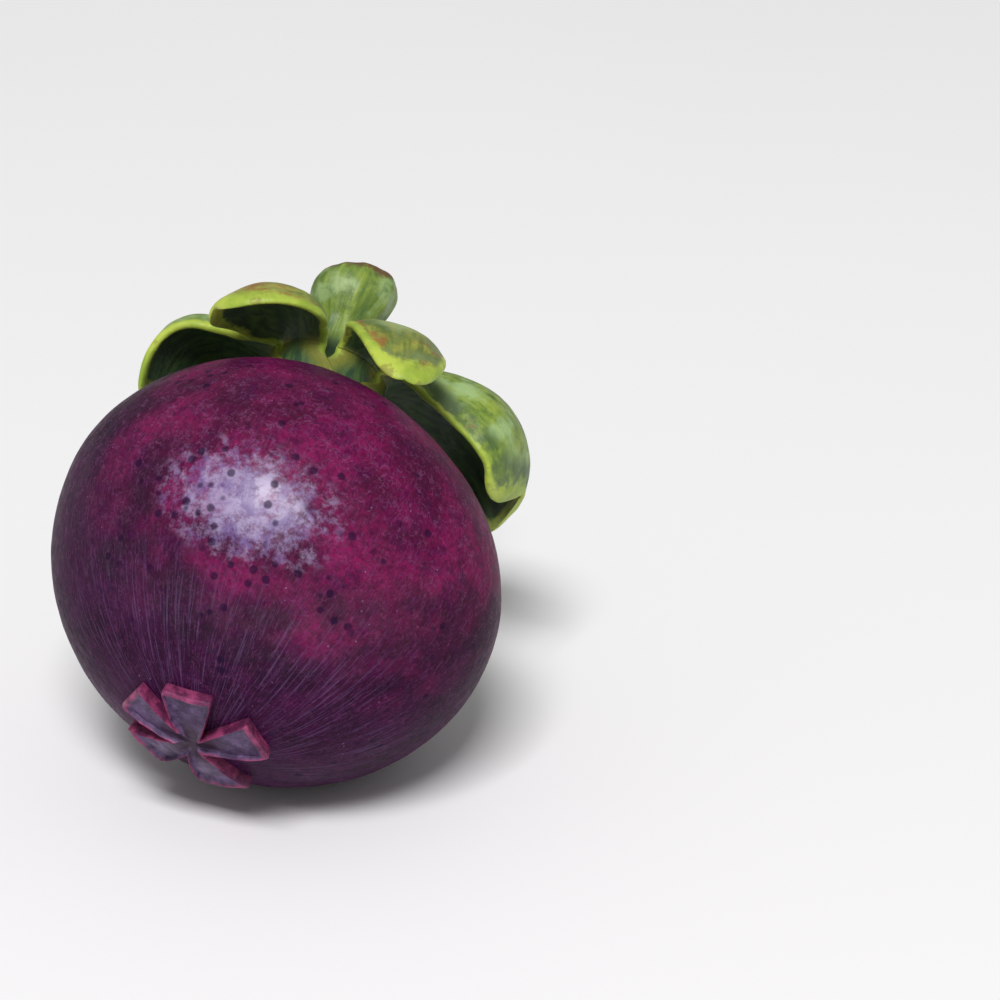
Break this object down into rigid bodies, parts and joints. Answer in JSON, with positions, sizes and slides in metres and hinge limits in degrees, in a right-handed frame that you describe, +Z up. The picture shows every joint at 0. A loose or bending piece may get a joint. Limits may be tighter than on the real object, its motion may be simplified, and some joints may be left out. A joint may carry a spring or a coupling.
{
  "type": "mangosteen",
  "caption": "Whole round fruit with a thick smooth rind, broad curled sepals and a short stem at one end and a raised stigma rosette at the other, resting on a small flat spot.",
  "frame": {"origin": "on the surface the fruit lies on, straight below the middle of the fruit, on its flat resting spot", "axes": "+Z up from the resting spot; +Y from the side with the stigma rosette towards the side with the calyx; +X to the right of someone facing the rosette"},
  "size_m": [0.0616, 0.0645, 0.0623],
  "materials": {
    "rind": "satin",
    "stem": "satin",
    "sepal": "satin",
    "stigma": "matte"
  },
  "bodies": {
    "root": {"fruit": "rind", "stem": "stem", "sepal_outer_left": "sepal", "sepal_outer_right": "sepal", "sepal_inner_left": "sepal", "sepal_inner_right": "sepal", "stigma": "stigma"}
  },
  "joints": []
}
